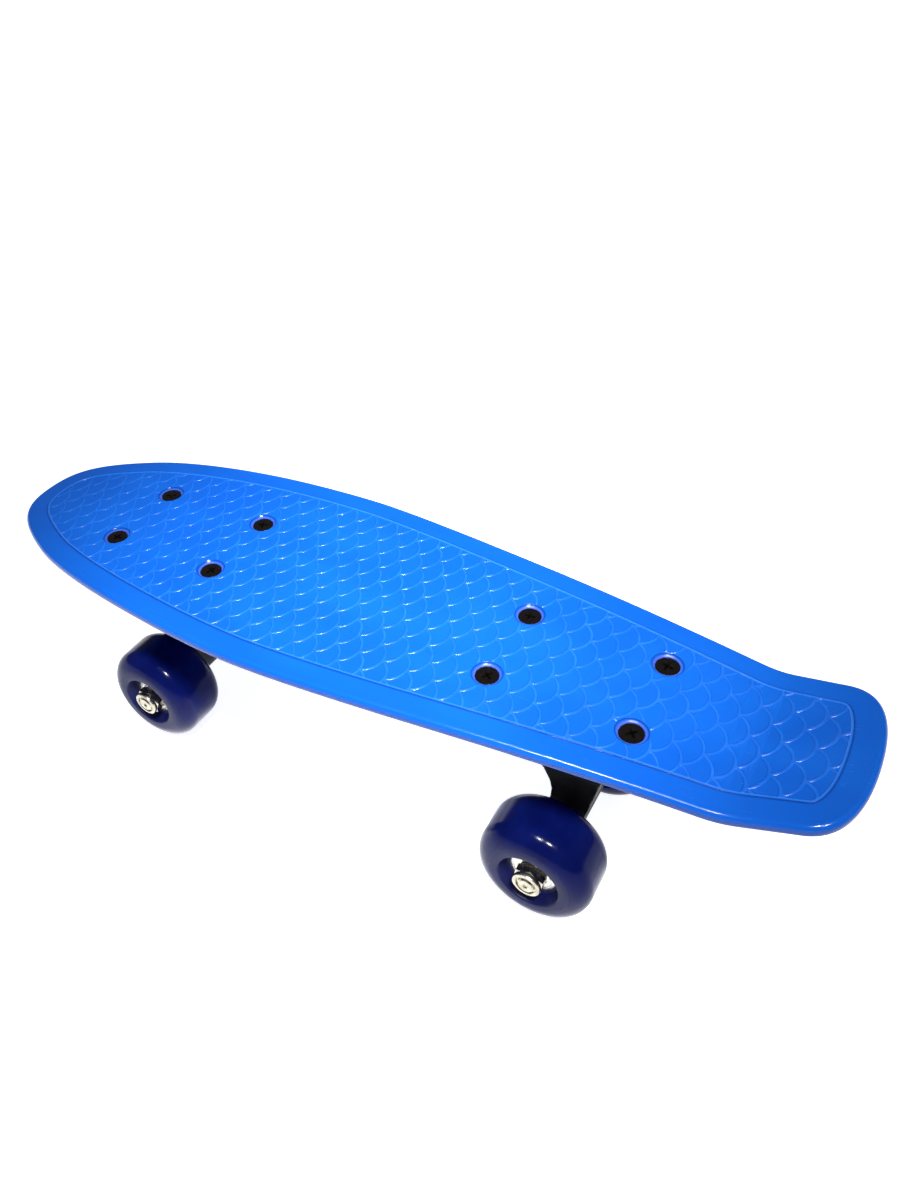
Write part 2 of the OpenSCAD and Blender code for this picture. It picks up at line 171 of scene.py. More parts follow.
def outline_loop():
    """The deck's outline seen from above, anticlockwise, at even steps."""
    steps = 200
    half = np.concatenate([
        bezier([[NOSE_X, 0], [NOSE_X, 19], [NOSE_X + 8, 29.4], [NOSE_X + 42, 44]], steps),
        bezier([[NOSE_X + 42, 44], [NOSE_X + 72, 57], [WIDEST_X - 42, HALF_W], [WIDEST_X, HALF_W]], steps),
        bezier([[WIDEST_X, HALF_W], [WIDEST_X + 45, HALF_W], [TAIL_X - 89, 46.2],
                [TAIL_X - 18.6, 38.8]], steps),
        bezier([[TAIL_X - 18.6, 38.8], [TAIL_X - 5.6, 37.4], [TAIL_X, 24.6], [TAIL_X, 0]], steps),
        [[TAIL_X, 0]],
    ])
    run = np.concatenate([[0], np.cumsum(np.linalg.norm(np.diff(half, axis=0), axis=1))])
    at = np.linspace(0, run[-1], OUTLINE_POINTS // 2 + 1)
    half = np.stack([np.interp(at, run, half[:, i]) for i in (0, 1)], axis=1)
    other = half[-2:0:-1] * [1, -1]
    return np.concatenate([half, other])[::-1]


OUTLINE = outline_loop()
_along = np.roll(OUTLINE, -1, axis=0) - np.roll(OUTLINE, 1, axis=0)
_along /= np.linalg.norm(_along, axis=1)[:, None]
INWARD = np.stack([-_along[:, 1], _along[:, 0]], axis=1)


def inset_loop(distance):
    return OUTLINE + distance * INWARD


def edge_distance(points):
    """How far each point lies inside the outline."""
    a = OUTLINE
    step = np.roll(OUTLINE, -1, axis=0) - a
    length2 = (step**2).sum(1)
    found = np.empty(len(points))
    chunk = 4000
    for start in range(0, len(points), chunk):
        p = points[start:start + chunk, None, :] - a[None]
        t = np.clip((p * step).sum(2) / length2, 0, 1)
        found[start:start + chunk] = np.sqrt(((p - t[..., None] * step) ** 2).sum(2).min(1))
    return found


def inside_loop(points, loop):
    """Whether each point lies inside a closed loop."""
    x, y = points[:, 0], points[:, 1]
    inside = np.zeros(len(points), bool)
    for (x0, y0), (x1, y1) in zip(loop, np.roll(loop, -1, axis=0)):
        if y0 != y1:
            crosses = (y0 > y) != (y1 > y)
            inside ^= crosses & (x < (x1 - x0) * (y - y0) / (y1 - y0) + x0)
    return inside


SCREWS = np.array([
    [TRUCK_X[end] + x * BOLT_L / 2, y * BOLT_W / 2]
    for end in (FRONT, REAR) for x in (-1, 1) for y in (-1, 1)
])


def screw_distance(points):
    return np.sqrt(((points[:, None] - SCREWS[None]) ** 2).sum(2)).min(1)


def circle(centre, radius, count=HOLE_POINTS):
    a = np.arange(count) * 2 * math.pi / count
    return np.array(centre) + radius * np.stack([np.cos(a), np.sin(a)], axis=1)


def smooth_fall(t):
    """1 at t <= 0, 0 at t >= 1, with level ends."""
    return 0.5 + 0.5 * np.cos(math.pi * np.clip(t, 0, 1))


def ridge_height(points):
    """Height of the scale lines above the panel."""
    x, y = points[:, 0], points[:, 1]
    nearest = np.full(len(points), 1e3)
    column = np.floor((x - SCALE_FIRST_X) / SCALE_STEP)
    for shift in (-1, 0, 1):
        k = column + shift
        x0 = SCALE_FIRST_X + k * SCALE_STEP
        stagger = np.where(k % 2 == 0, 0, SCALE_PITCH / 2)
        y0 = stagger + SCALE_PITCH * np.round((y - stagger) / SCALE_PITCH)
        dx = x - (x0 + SCALE_STEP - SCALE_R)
        dy = y - y0
        on_arc = np.abs(np.arctan2(dy, dx)) <= SCALE_SPAN
        to_end = np.hypot(x - x0, np.abs(dy) - SCALE_PITCH / 2)
        nearest = np.minimum(nearest, np.where(on_arc, np.abs(np.hypot(dx, dy) - SCALE_R), to_end))
    return LINE_H * smooth_fall((nearest - RIDGE_FLAT) / (RIDGE_HALF - RIDGE_FLAT))


def frame_height(inset):
    """Height of the raised line that frames the panel, at a distance in from the deck's edge."""
    outer = (BORDER_W + FRAME_OUTER[1] - inset) / (FRAME_OUTER[1] - FRAME_OUTER[0])
    inner = (inset - BORDER_W - FRAME_INNER[0]) / (FRAME_INNER[1] - FRAME_INNER[0])
    return LINE_H * smooth_fall(np.maximum(outer, inner))


def top_shape(points):
    """Height of the deck's upper side with its scale lines and the line that frames them."""
    inset = edge_distance(points)
    clear = np.clip((screw_distance(points) - DISH_R - 0.1) / DISH_CLEAR, 0, 1)
    ridge = ridge_height(points) * clear * (inset > BORDER_W + LINE_W / 2)
    return top_z(points[:, 0]) + np.maximum(ridge, frame_height(inset))


def ridge_lines():
    """Every scale line as short runs of points, cut off at the border and at the screw seats."""
    runs = []
    angles = np.linspace(-SCALE_SPAN, SCALE_SPAN, ARC_PARTS + 1)
    first = math.floor((NOSE_X - SCALE_FIRST_X) / SCALE_STEP)
    last = math.ceil((TAIL_X - SCALE_FIRST_X) / SCALE_STEP)
    rows = math.ceil(HALF_W / SCALE_PITCH)
    for k in range(first, last):
        stagger = 0 if k % 2 == 0 else SCALE_PITCH / 2
        cx = SCALE_FIRST_X + k * SCALE_STEP + SCALE_STEP - SCALE_R
        for j in range(-rows, rows + 1):
            cy = stagger + j * SCALE_PITCH
            for offset in RIDGE_OFFSETS:
                r = SCALE_R + offset
                runs.append(np.stack([cx + r * np.cos(angles), cy + r * np.sin(angles)], axis=1))
    points = np.concatenate(runs)
    room = np.minimum(
        np.where(inside_loop(points, OUTLINE), edge_distance(points), -1) - BORDER_W - LINE_W * 0.8,
        screw_distance(points) - DISH_R - 0.15,
    ).reshape(len(runs), -1)
    pieces = []
    for run, spare in zip(runs, room):
        for i in range(len(run) - 1):
            a, b, sa, sb = run[i], run[i + 1], spare[i], spare[i + 1]
            if sa <= 0 and sb <= 0:
                continue
            if sa < 0:
                a = a + (b - a) * (-sa / (sb - sa))
            elif sb < 0:
                b = b + (a - b) * (-sb / (sa - sb))
            pieces.append((a, b))
    return pieces


class Plan:
    """Points and lines on the flat plan of one side of the deck, triangulated together."""

    def __init__(self):
        self.points = []
        self.edges = []

    def loop(self, points):
        start = len(self.points)
        count = len(points)
        self.points += [tuple(p) for p in points]
        self.edges += [(start + i, start + (i + 1) % count) for i in range(count)]
        return list(range(start, start + count))

    def line(self, a, b):
        start = len(self.points)
        self.points += [tuple(a), tuple(b)]
        self.edges.append((start, start + 1))

    def triangulate(self, border, holes):
        """The triangles inside the border and outside the holes, and where each given point ended up."""
        merge = 1e-4
        verts, _, faces, origins, _, _ = delaunay_2d_cdt(
            [Vector(p) for p in self.points], self.edges, [], 0, merge)
        place = {}
        for new, olds in enumerate(origins):
            for old in olds:
                place[old] = new
        xy = np.array([tuple(v) for v in verts])
        tris = np.array([f for f in faces if len(f) == 3])
        middles = xy[tris].mean(1)
        keep = inside_loop(middles, border)
        for centre, radius in holes:
            keep &= np.linalg.norm(middles - centre, axis=1) > radius * math.cos(math.pi / HOLE_POINTS)
        return xy, tris[keep], place


def deck_top_plan():
    plan = Plan()
    border = inset_loop(RIM_R)
    rim = plan.loop(border)
    for low, high in (FRAME_OUTER, FRAME_INNER):
        for share in (0, 0.25, 0.5, 0.75, 1):
            plan.loop(inset_loop(BORDER_W + low + (high - low) * share))
    # The painted shade along the frame line's foot fades out at this loop.
    crease_edge = BORDER_W + FRAME_OUTER[0] - CREASE_W
    for distance in (RIM_R + 1, BORDER_W / 2, crease_edge):
        plan.loop(inset_loop(distance))
    seats = []
    for centre in SCREWS:
        seats.append(plan.loop(circle(centre, DISH_R)))
        plan.loop(circle(centre, DISH_R + 0.1 + DISH_CLEAR))
    for a, b in ridge_lines():
        plan.line(a, b)
    kick_lines = 24
    for x in np.linspace(KICK_X0 - 1, KICK_X1 + 1, kick_lines):
        half = half_width(x, RIM_R + 1)
        plan.line((x, -half), (x, half))
    xy, tris, place = plan.triangulate(border, [(c, DISH_R) for c in SCREWS])
    return xy, tris, [place[i] for i in rim], [[place[i] for i in seat] for seat in seats]


def half_width(x, inset):
    """Half width at a place along the deck, of the outline moved inwards."""
    loop = inset_loop(inset)
    side = loop[loop[:, 1] > 0]
    order = np.argsort(side[:, 0])
    return float(np.interp(x, side[order, 0], side[order, 1]))


def run_ends(y, inset):
    """The two ends, along the deck, of a lengthwise line inside the moved outline."""
    loop = inset_loop(inset)
    nose = loop[loop[:, 0] < NOSE_X + 60]
    tail = loop[loop[:, 0] > TAIL_X - 15]
    ends = []
    for part in (nose, tail):
        order = np.argsort(part[:, 1])
        ends.append(float(np.interp(y, part[order, 1], part[order, 0])))
    return ends


def rounded_rectangle(centre, length, width, radius):
    steps = 8
    corners = []
    for qx, qy, start in ((1, 1, 0), (-1, 1, 90), (-1, -1, 180), (1, -1, 270)):
        for i in range(steps + 1):
            a = math.radians(start + 90 * i / steps)
            corners.append((
                centre[0] + qx * (length / 2 - radius) + radius * math.cos(a),
                centre[1] + qy * (width / 2 - radius) + radius * math.sin(a),
            ))
    return np.array(corners)


def rectangle_distance(points, centre, length, width, radius):
    """Signed distance outside a rounded rectangle."""
    q = np.abs(points - centre) - [length / 2 - radius, width / 2 - radius]
    outside = np.linalg.norm(np.maximum(q, 0), axis=1)
    return outside + np.minimum(q.max(1), 0) - radius


LIP_STEPS = (0, 0.3, 0.9, 1.4)


def underside_shape(points):
    """Height of the deck's lower side: a thin shell stiffened by ribs, an edge wall and truck pads."""
    top = top_z(points[:, 0])
    cross = np.abs((points[:, 0] - TRUCK_MID + RIB_PITCH / 2) % RIB_PITCH - RIB_PITCH / 2)
    cross = np.where(np.abs(points[:, 0] - TRUCK_MID) < (len(CROSS_RIBS) // 2 + 0.5) * RIB_PITCH, cross, 1e3)
    along = np.min([np.abs(points[:, 1] - y) for y in LONG_RIBS], axis=0)
    rib = np.clip((RIB_ROOT - np.minimum(cross, along)) / (RIB_ROOT - RIB_TIP), 0, 1)
    inset = edge_distance(points)
    rib = rib * np.clip((inset - RIB_INSET) / RIB_RISE, 0, 1)
    wall = np.interp(inset - LIP_W, LIP_STEPS, (EDGE_T, EDGE_T - 0.4, SHELL_T + 0.3, SHELL_T))
    z = top - np.maximum(SHELL_T + (RIB_DEPTH - SHELL_T) * rib, wall)
    for end in (FRONT, REAR):
        out = rectangle_distance(points, (TRUCK_X[end], 0), PAD_L, PAD_W, PAD_CORNER)
        share = np.clip(1 - out / PAD_DRAFT, 0, 1)
        z = np.where(share > 0, np.minimum(z, z + (PAD_Z - z) * share), z)
    return z


def underside_plan():
    plan = Plan()
    border = inset_loop(LIP_W)
    rim = plan.loop(border)
    for distance in LIP_STEPS[1:]:
        plan.loop(inset_loop(LIP_W + distance))
    for distance in (RIB_INSET, RIB_INSET + RIB_RISE):
        plan.loop(inset_loop(distance))
    for end in (FRONT, REAR):
        for grow in (0, PAD_DRAFT):
            plan.loop(rounded_rectangle(
                (TRUCK_X[end], 0), PAD_L + 2 * grow, PAD_W + 2 * grow, PAD_CORNER + grow))
    holes = [plan.loop(circle(centre, SCREW_HOLE_R)) for centre in SCREWS]
    for offset in (-RIB_ROOT, -RIB_TIP, RIB_TIP, RIB_ROOT):
        for i in CROSS_RIBS:
            x = TRUCK_MID + i * RIB_PITCH + offset
            if NOSE_X + RIB_INSET + 1 < x < TAIL_X - RIB_INSET - 1:
                half = half_width(x, RIB_INSET)
                plan.line((x, -half), (x, half))
        for y in LONG_RIBS:
            x0, x1 = run_ends(y + offset, RIB_INSET)
            plan.line((x0, y + offset), (x1, y + offset))
    for x in np.arange(NOSE_X + 8, TAIL_X - 6, RIB_PITCH / 4):
        half = half_width(x, LIP_W + 0.2)
        plan.line((x, -half), (x, half))
    xy, tris, place = plan.triangulate(border, [(c, SCREW_HOLE_R) for c in SCREWS])
    return xy, tris, [place[i] for i in rim], [[place[i] for i in hole] for hole in holes]


def rim_sections():
    """How far in and how deep each ring round the deck's edge lies, from the border's edge to the lip."""
    rings = []
    for a in np.linspace(0, 90, 8)[1:]:
        t = math.radians(a)
        rings.append((RIM_R * (1 - math.sin(t)), RIM_R * (1 - math.cos(t))))
    rings.append((0.05, EDGE_T - FOOT_R - 1))
    for a in (0, 30, 60, 90):
        t = math.radians(a)
        rings.append((0.1 + FOOT_R * (1 - math.cos(t)), EDGE_T - FOOT_R * (1 - math.sin(t))))
    return rings


def stitch(faces, first, second):
    """Quads between two rings of equal length, looking up where the second ring lies outside the first."""
    n = len(first)
    for i in range(n):
        j = (i + 1) % n
        faces.append((second[i], second[j], first[j], first[i]))


def build_deck():
    """The whole deck as one closed mesh: patterned top, rounded rim, ribbed underside and screw seats."""
    top_xy, top_tris, top_rim, seats = deck_top_plan()
    top_points = np.column_stack([top_xy, top_shape(top_xy)])
    under_xy, under_tris, under_rim, holes = underside_plan()
    under_points = np.column_stack([under_xy, underside_shape(under_xy)])
    for hole in holes:
        under_points[hole, 2] = PAD_Z
    points = [top_points]
    total = len(top_points)
    faces = [tuple(t) for t in top_tris]
    top_face_count = len(faces)

    previous = top_rim
    for inset, depth in rim_sections():
        loop = inset_loop(inset)
        ring = list(range(total, total + len(loop)))
        points.append(np.column_stack([loop, top_z(inset_loop(RIM_R)[:, 0]) - depth]))
        total += len(loop)
        stitch(faces, previous, ring)
        previous = ring
    under_start = total
    rim_range = (len(top_points), total)
    points.append(under_points)
    total += len(under_points)
    stitch(faces, previous, [under_start + i for i in under_rim])
    faces += [tuple(under_start + i for i in t[::-1]) for t in under_tris]

    for centre, seat, hole in zip(SCREWS, seats, holes):
        floor_z = float(top_z(centre[0])) - SCREW_SINK
        lip = circle(centre, DISH_R - 0.2)
        foot = circle(centre, DISH_R - 0.45)
        levels = [
            (lip, top_z(lip[:, 0]) - 0.15),
            (foot, top_z(foot[:, 0]) - 0.5),
            (circle(centre, DISH_FLOOR_R), np.full(HOLE_POINTS, floor_z)),
            (circle(centre, DISH_FLOOR_R), np.full(HOLE_POINTS, floor_z - HEAD_RIM_T)),
            (circle(centre, SCREW_HOLE_R), np.full(HOLE_POINTS, floor_z - COUNTERSINK_D)),
        ]
        upper = seat
        for loop, z in levels:
            ring = list(range(total, total + HOLE_POINTS))
            points.append(np.column_stack([loop, z]))
            total += HOLE_POINTS
            stitch(faces, ring, upper)
            upper = ring
        stitch(faces, [under_start + i for i in hole], upper)
    return np.concatenate(points), faces, top_face_count, rim_range


# ---- making pieces ----

def mesh_from(name, points, faces):
    """A mesh in metres from points in millimetres."""
    mesh = bpy.data.meshes.new(name)
    scaled = (np.asarray(points, float) * MM).tolist()
    mesh.from_pydata(scaled, [], [tuple(int(i) for i in f) for f in faces])
    mesh.validate()
    return mesh


def add_object(name, data):
    obj = bpy.data.objects.new(name, data)
    bpy.context.scene.collection.objects.link(obj)
    return obj


def add_piece(name, mesh, node, material, body, origin=None):
    """Shows a mesh in place of a CAD node, riding on its body. The origin sets where textures start."""
    if origin is not None:
        mesh.transform(origin.inverted())
    piece = add_object(name, mesh)
    if origin is not None:
        piece.matrix_world = origin
    mesh.materials.clear()
    mesh.materials.append(material)
    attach(piece, body)
    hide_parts(node)
    return piece


def shade_by_angle(mesh, degrees=32):
    mesh.polygons.foreach_set("use_smooth", [True] * len(mesh.polygons))
    mesh.set_sharp_from_angle(angle=math.radians(degrees))


def join_parts(parts):
    """Several (points, faces) parts as one."""
    points, faces, start = [], [], 0
    for part_points, part_faces in parts:
        points.append(np.asarray(part_points, float))
        faces += [tuple(i + start for i in f) for f in part_faces]
        start += len(part_points)
    return np.concatenate(points), faces


def placed(part, matrix):
    """A part moved by a matrix. One with a mirror in it turns the faces round."""
    points, faces = part
    m = np.array(matrix)
    points = np.asarray(points) @ m[:3, :3].T + m[:3, 3]
    if matrix.determinant() < 0:
        faces = [tuple(f)[::-1] for f in faces]
    return points, faces


def ring_solid(rings, closed=True):
    """A skin over rings of equal length, outer rings going up. Closed, the last ring meets the first."""
    count = len(rings[0])
    faces = []
    for k in range(len(rings) if closed else len(rings) - 1):
        a = k * count
        b = (k + 1) % len(rings) * count
        for i in range(count):
            j = (i + 1) % count
            faces.append((a + i, a + j, b + j, b + i))
    return np.concatenate(rings), faces


def rounded_profile(corners, steps=4):
    """A closed profile of (radius, height, rounding) corners with the rounding worked in."""
    profile = []
    count = len(corners)
    for i, (r, z, rounding) in enumerate(corners):
        here = np.array([r, z], float)
        if rounding <= 0:
            profile.append(here)
            continue
        before = np.array(corners[i - 1][:2], float) - here
        after = np.array(corners[(i + 1) % count][:2], float) - here
        before /= np.linalg.norm(before)
        after /= np.linalg.norm(after)
        turn = math.acos(np.clip(before @ after, -1, 1))
        reach = rounding / math.tan(turn / 2)
        start, end = here + before * reach, here + after * reach
        middle = here + (before + after) / np.linalg.norm(before + after) * rounding / math.sin(turn / 2)
        a0 = math.atan2(*(start - middle)[::-1])
        sweep = (math.atan2(*(end - middle)[::-1]) - a0 + math.pi) % (2 * math.pi) - math.pi
        for k in range(steps + 1):
            a = a0 + sweep * k / steps
            profile.append(middle + rounding * np.array([math.cos(a), math.sin(a)]))
    return profile


def spun(profile, segments):
    """One ring of points about +Z for each (radius, height)."""
    a = np.arange(segments) * 2 * math.pi / segments
    cos, sin = np.cos(a), np.sin(a)
    return [np.column_stack([r * cos, r * sin, np.full(segments, float(z))]) for r, z in profile]


def turned(profile, segments=96):
    """A ring turned about +Z from a closed profile of (radius, height), outer side going up."""
    return ring_solid(spun(profile, segments))


def turned_rod(profile, segments=64):
    """A rod turned about +Z from (radius, height) points running up from one end to the other."""
    points, faces = ring_solid(spun(profile, segments), closed=False)
    low, high = len(points), len(points) + 1
    last = len(points) - segments
    for i in range(segments):
        j = (i + 1) % segments
        faces.append((low, j, i))
        faces.append((high, last + i, last + j))
    return np.concatenate([points, [[0, 0, profile[0][1]], [0, 0, profile[-1][1]]]]), faces


def hex_radius(angle, flats):
    """Distance from the middle to a hexagon's side, with corners at multiples of 60 degrees."""
    within = (angle + math.pi / 6) % (math.pi / 3) - math.pi / 6
    return flats / 2 / np.cos(math.pi / 6 - np.abs(within))


NUT_FACE_SHARE = 0.97


def hex_ring(flats, z, drop, segments):
    """One ring of points along a nut's hexagon, whose corners are turned off towards its face."""
    a = np.arange(segments) * 2 * math.pi / segments
    r = hex_radius(a, flats)
    cone = np.maximum(r - flats / 2 * NUT_FACE_SHARE, 0) * math.tan(math.radians(30))
    return np.column_stack([r * np.cos(a), r * np.sin(a), z + drop * cone])


def nut(flats, bore, z0, z1, collar=None, segments=96):
    """A hexagon nut with turned-off corners, and a round locking collar on top where one is given."""
    face = flats / 2 * NUT_FACE_SHARE
    rings = spun([(bore, z0 + 0.5), (bore + 0.45, z0), (face, z0)], segments)
    rings += [hex_ring(flats, z0, 1, segments), hex_ring(flats, z1, -1, segments)]
    if collar:
        radius, top = collar
        upper = [
            (face, z1), (radius, z1 + 0.15), (radius, top - 0.7), (radius - 0.2, top - 0.25),
            (radius - 0.7, top), (bore + 1.0, top), (bore + 0.75, top - 0.2), (bore + 0.7, top - 0.9),
            (bore, top - 1.0)]
    else:
        upper = [(face, z1), (bore + 0.45, z1), (bore, z1 - 0.5)]
    return ring_solid(rings + spun(upper, segments))


def thread(radius, depth, pitch, z0, z1):
    """(radius, height) points of a thread's ridges between two heights."""
    points = []
    turns = max(1, round((z1 - z0) / pitch))
    for i in range(turns):
        z = z0 + (z1 - z0) * i / turns
        step = (z1 - z0) / turns
        points += [(radius - depth, z + step * 0.1), (radius, z + step * 0.42), (radius, z + step * 0.58),
                   (radius - depth, z + step * 0.9)]
    return points


# ---- materials ----

class Finish:
    """A principled material that grows by named steps."""

    def __init__(self, name, colour, roughness, metallic=0.0, specular=0.5):
        self.material = bpy.data.materials.new(name)
        self.material.use_nodes = True
        self.tree = self.material.node_tree
        self.shader = self.tree.nodes["Principled BSDF"]
        self.shader.inputs["Metallic"].default_value = metallic
        self.shader.inputs["Specular IOR Level"].default_value = specular
        self.shader.inputs["Base Color"].default_value = (*colour, 1)
        self.shader.inputs["Roughness"].default_value = roughness
        self.place = self.add("ShaderNodeTexCoord").outputs["Object"]
        self.height = None

    def add(self, kind, **settings):
        node = self.tree.nodes.new(kind)
        for key, value in settings.items():
            setattr(node, key, value)
        return node

    def link(self, source, target):
        self.tree.links.new(source, target)

    def noise(self, size_mm, detail=3, stretch=(1, 1, 1), roughness=0.5):
        """Noise whose features are about this size."""
        spread = self.add("ShaderNodeMapping")
        spread.inputs["Scale"].default_value = stretch
        self.link(self.place, spread.inputs["Vector"])
        noise = self.add("ShaderNodeTexNoise")
        noise.inputs["Scale"].default_value = 1 / (size_mm * MM)
        noise.inputs["Detail"].default_value = detail
        noise.inputs["Roughness"].default_value = roughness
        self.link(spread.outputs["Vector"], noise.inputs["Vector"])
        return noise.outputs["Fac"]

    def remap(self, value, low, high, to_low=0.0, to_high=1.0, smooth=True):
        node = self.add("ShaderNodeMapRange", interpolation_type="SMOOTHSTEP" if smooth else "LINEAR")
        for key, number in (("From Min", low), ("From Max", high), ("To Min", to_low), ("To Max", to_high)):
            node.inputs[key].default_value = number
        self.link(value, node.inputs["Value"])
        return node.outputs["Result"]

    def math(self, operation, a, b):
        node = self.add("ShaderNodeMath", operation=operation)
        for socket, value in zip(node.inputs, (a, b)):
            if isinstance(value, (int, float)):
                socket.default_value = value
            else:
                self.link(value, socket)
        return node.outputs[0]

    def mix(self, share, a, b):
        node = self.add("ShaderNodeMix", data_type="RGBA")
        self.link(share, node.inputs["Factor"])
        for socket, value in ((node.inputs[6], a), (node.inputs[7], b)):
            if isinstance(value, tuple):
                socket.default_value = (*value, 1)
            else:
                self.link(value, socket)
        return node.outputs[2]

    def paint(self, colour):
        self.link(colour, self.shader.inputs["Base Color"])

    def roughen(self, value):
        self.link(value, self.shader.inputs["Roughness"])

    def bump(self, value, depth_mm, strength=1.0):
        node = self.add("ShaderNodeBump")
        node.inputs["Distance"].default_value = depth_mm * MM
        node.inputs["Strength"].default_value = strength
        self.link(value, node.inputs["Height"])
        if self.height:
            self.link(self.height, node.inputs["Normal"])
        self.height = node.outputs["Normal"]
        self.link(self.height, self.shader.inputs["Normal"])


def deck_finish():
    """Glossy injection-moulded blue plastic with flow clouding and fine orange peel. The scale lines and the top
    of the frame line are painted lighter as a painted highlight, and the scale lines are scuffed rougher too. Each
    screw seat's dish is painted lighter as a painted highlight and made rougher. Painted shade darkens the frame
    line's foot, the rim's lower wall and the seats' lips.
    """
    f = Finish("deck_plastic", (0.003, 0.105, 0.56), 0.2, specular=0.27)
    cloud = f.remap(f.noise(46, 2, (0.6, 1.3, 1)), 0.38, 0.66)
    colour = f.mix(cloud, (0.0026, 0.097, 0.535), (0.0034, 0.113, 0.585))
    # Painted highlight: the raised scale lines are painted lighter in patches, standing in for light catching
    # them; the same share also makes them rougher as scuffing.
    ridge_sheen_and_wear = f.add("ShaderNodeAttribute", attribute_name="raised").outputs["Fac"]
    patches = f.remap(f.noise(7, 4), 0.35, 0.7, 0.25, 0.9)
    colour = f.mix(f.math("MULTIPLY", ridge_sheen_and_wear, patches), colour, (0.01, 0.145, 0.67))
    # Painted highlight: the top of the raised line that frames the panel is painted lighter.
    painted_crest_highlight = f.add("ShaderNodeAttribute", attribute_name="painted_crest_highlight").outputs["Fac"]
    colour = f.mix(painted_crest_highlight, colour, (0.02, 0.19, 0.8))
    # Painted highlight: each screw seat's dish is painted lighter, standing in for light on its walls; the same
    # share also makes it rougher as rubbing.
    seat_highlight_and_rubbing = f.add("ShaderNodeAttribute", attribute_name="seat").outputs["Fac"]
    colour = f.mix(seat_highlight_and_rubbing, colour, (0.06, 0.12, 0.6))
    # Painted shade: darker along the foot of the frame line, down the rim's lower wall and round each screw seat's
    # lip.
    shaded = f.add("ShaderNodeAttribute", attribute_name="painted_shade").outputs["Fac"]
    colour = f.mix(shaded, colour, (0.001, 0.032, 0.24))
    f.paint(colour)
    scratches = f.remap(f.noise(1.6, 5, (0.12, 1.6, 1), 0.7), 0.56, 0.74)
    smear = f.remap(f.noise(21, 3), 0.3, 0.75, 0.15, 0.22)
    rough = f.math("ADD", smear, f.math("MULTIPLY", scratches, 0.14))
    rough = f.math("ADD", rough, f.math("MULTIPLY", ridge_sheen_and_wear, 0.14))
    f.roughen(f.math("ADD", rough, f.math("MULTIPLY", seat_highlight_and_rubbing, 0.3)))
    f.bump(f.noise(1.1, 2), 0.02, 0.25)
    f.bump(scratches, 0.008, 0.4)
    return f.material


def wheel_finish():
    """Cast navy urethane: glossy tread and shoulders, and a duller moulded side face greyed in patches, partly
    road dirt and partly a painted reflection of the pale floor.
    """
    f = Finish("wheel_urethane", (0.0014, 0.004, 0.055), 0.16, specular=0.1)
    split = f.add("ShaderNodeSeparateXYZ")
    f.link(f.place, split.inputs[0])
    x, y = split.outputs[0], split.outputs[1]
    radius = f.math("SQRT", f.math("ADD", f.math("MULTIPLY", x, x), f.math("MULTIPLY", y, y)), 0)
    side = f.remap(radius, 21.5 * MM, 17.5 * MM)
    cloud = f.remap(f.noise(17, 3), 0.35, 0.7)
    colour = f.mix(cloud, (0.001, 0.003, 0.046), (0.0018, 0.005, 0.066))
    # Greyer patches on the side face: partly road dirt, partly a painted reflection of the floor.
    dust_and_reflection = f.math("MULTIPLY", side, f.remap(f.noise(3.2, 5), 0.4, 0.75, 0.2, 0.6))
    f.paint(f.mix(dust_and_reflection, colour, (0.012, 0.012, 0.046)))
    scuff = f.remap(f.noise(2.2, 5, (1, 1, 0.3), 0.65), 0.52, 0.72, 0, 0.1)
    f.roughen(f.math("ADD", f.math("ADD", f.math("MULTIPLY", side, 0.22), 0.14), scuff))
    f.bump(f.noise(2.4, 3), 0.03, 0.2)
    return f.material


def truck_finish():
    """Black glass-filled nylon, with a fine spark-eroded grain and slightly greyed patches."""
    f = Finish("truck_plastic", (0.006, 0.006, 0.007), 0.46, specular=0.2)
    cloud = f.remap(f.noise(12, 3), 0.35, 0.7)
    f.paint(f.mix(cloud, (0.0045, 0.0045, 0.0055), (0.011, 0.011, 0.013)))
    f.roughen(f.remap(f.noise(5, 4), 0.3, 0.75, 0.38, 0.56))
    f.bump(f.noise(0.45, 2), 0.02, 0.55)
    return f.material


def steel_finish(name, colour, darker, roughness, grain_mm, stretch=(1, 1, 1)):
    """Machined or plated metal: stained colour, uneven sheen and fine tool marks."""
    f = Finish(name, colour, roughness, metallic=1.0)
    stain = f.remap(f.noise(4.5, 4), 0.35, 0.72)
    f.paint(f.mix(stain, darker, colour))
    f.roughen(f.remap(f.noise(2.2, 4), 0.3, 0.75, roughness * 0.75, roughness * 1.35))
    f.bump(f.noise(grain_mm, 3, stretch), 0.012, 0.4)
    return f.material


def black_screw_finish():
    """Black oxide on steel, oily, with a faint brown cast where it has been abraded."""
    f = Finish("black_steel", (0.003, 0.0022, 0.002), 0.22, specular=0.35)
    wear = f.remap(f.noise(1.4, 4), 0.5, 0.75)
    f.paint(f.mix(wear, (0.0025, 0.002, 0.0018), (0.008, 0.0045, 0.003)))
    f.roughen(f.remap(f.noise(1.6, 2), 0.3, 0.7, 0.18, 0.27))
    f.bump(f.noise(0.7, 2), 0.006, 0.2)
    return f.material


def rubber_finish(name, light, dark):
    f = Finish(name, light, 0.6, specular=0.4)
    f.paint(f.mix(f.remap(f.noise(3, 4), 0.35, 0.7), dark, light))
    f.roughen(f.remap(f.noise(1.8, 3), 0.3, 0.7, 0.48, 0.7))
    f.bump(f.noise(0.6, 3), 0.03, 0.4)
    return f.material


